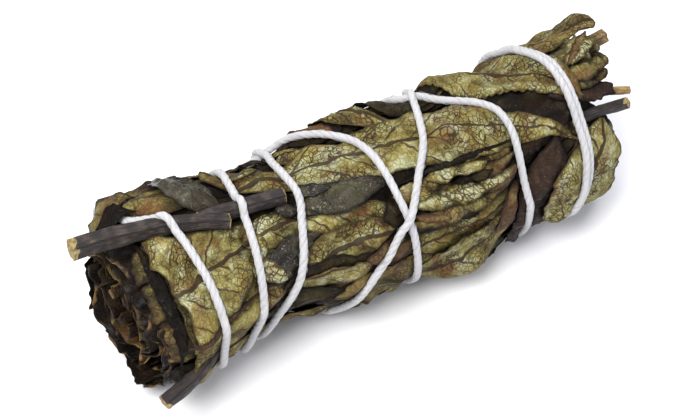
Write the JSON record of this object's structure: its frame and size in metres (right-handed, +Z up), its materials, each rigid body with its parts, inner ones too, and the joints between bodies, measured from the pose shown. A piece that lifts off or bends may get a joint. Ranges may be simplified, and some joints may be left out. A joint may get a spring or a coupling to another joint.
{
  "type": "sage bunch",
  "caption": "Tied bundle of dried sage: broad net-veined leaves folded round woody stems and wound with white cotton string.",
  "frame": {"origin": "on the surface under the middle of the bundle", "axes": "+X along the bundle, from its cut end to its tip end; +Z up; -Y faces the viewer"},
  "size_m": [0.1207, 0.0424, 0.0427],
  "materials": {
    "inner_leaf": "dry, matte, dark brown",
    "pale_leaf": "dry, net-veined, olive yellow",
    "olive_leaf": "dry, net-veined, olive",
    "dark_leaf": "dark, resinous, half glossy",
    "stem": "dark ridged bark",
    "tan_stem": "pale dry wood",
    "string": "soft twisted white cotton"
  },
  "bodies": {
    "root": {"cotton_string": "string", "leaf_back_left": "pale_leaf", "leaf_back_middle": "olive_leaf", "leaf_back_right": "olive_leaf", "leaf_back_top_left": "olive_leaf", "leaf_back_top_middle": "pale_leaf", "leaf_below_left": "olive_leaf", "leaf_below_middle": "pale_leaf", "leaf_below_right": "pale_leaf", "leaf_bottom_left": "pale_leaf", "leaf_bottom_middle": "pale_leaf", "leaf_bottom_right": "olive_leaf", "leaf_crumple_high": "olive_leaf", "leaf_crumple_low": "olive_leaf", "leaf_crumple_middle": "pale_leaf", "leaf_front_left": "pale_leaf", "leaf_front_low_left": "pale_leaf", "leaf_front_middle": "pale_leaf", "leaf_glossy_low": "dark_leaf", "leaf_glossy_middle": "dark_leaf", "leaf_lens_fold": "pale_leaf", "leaf_long_top": "pale_leaf", "leaf_low_fold": "pale_leaf", "leaf_lower_middle": "olive_leaf", "leaf_lower_right": "olive_leaf", "leaf_purple_band": "dark_leaf", "leaf_right_end_brown": "dark_leaf", "leaf_right_end_front": "pale_leaf", "leaf_right_end_top": "pale_leaf", "leaf_toothed_top": "pale_leaf", "leaf_top_fold": "dark_leaf", "leaf_top_grey": "dark_leaf", "leaf_top_left": "pale_leaf", "leaf_top_left_grey": "dark_leaf", "leaf_top_pale": "pale_leaf", "leaf_under_right": "dark_leaf", "leaf_under_top_left": "olive_leaf", "packed_inner_leaves": "inner_leaf", "stem_front_low": "stem", "stem_inner_back": "stem", "stem_inner_low": "stem", "stem_inner_middle": "stem", "stem_inner_purple": "stem", "stem_inner_tan": "tan_stem", "stem_inner_top": "stem", "stem_top_left": "stem", "stem_top_second": "stem"}
  },
  "joints": []
}
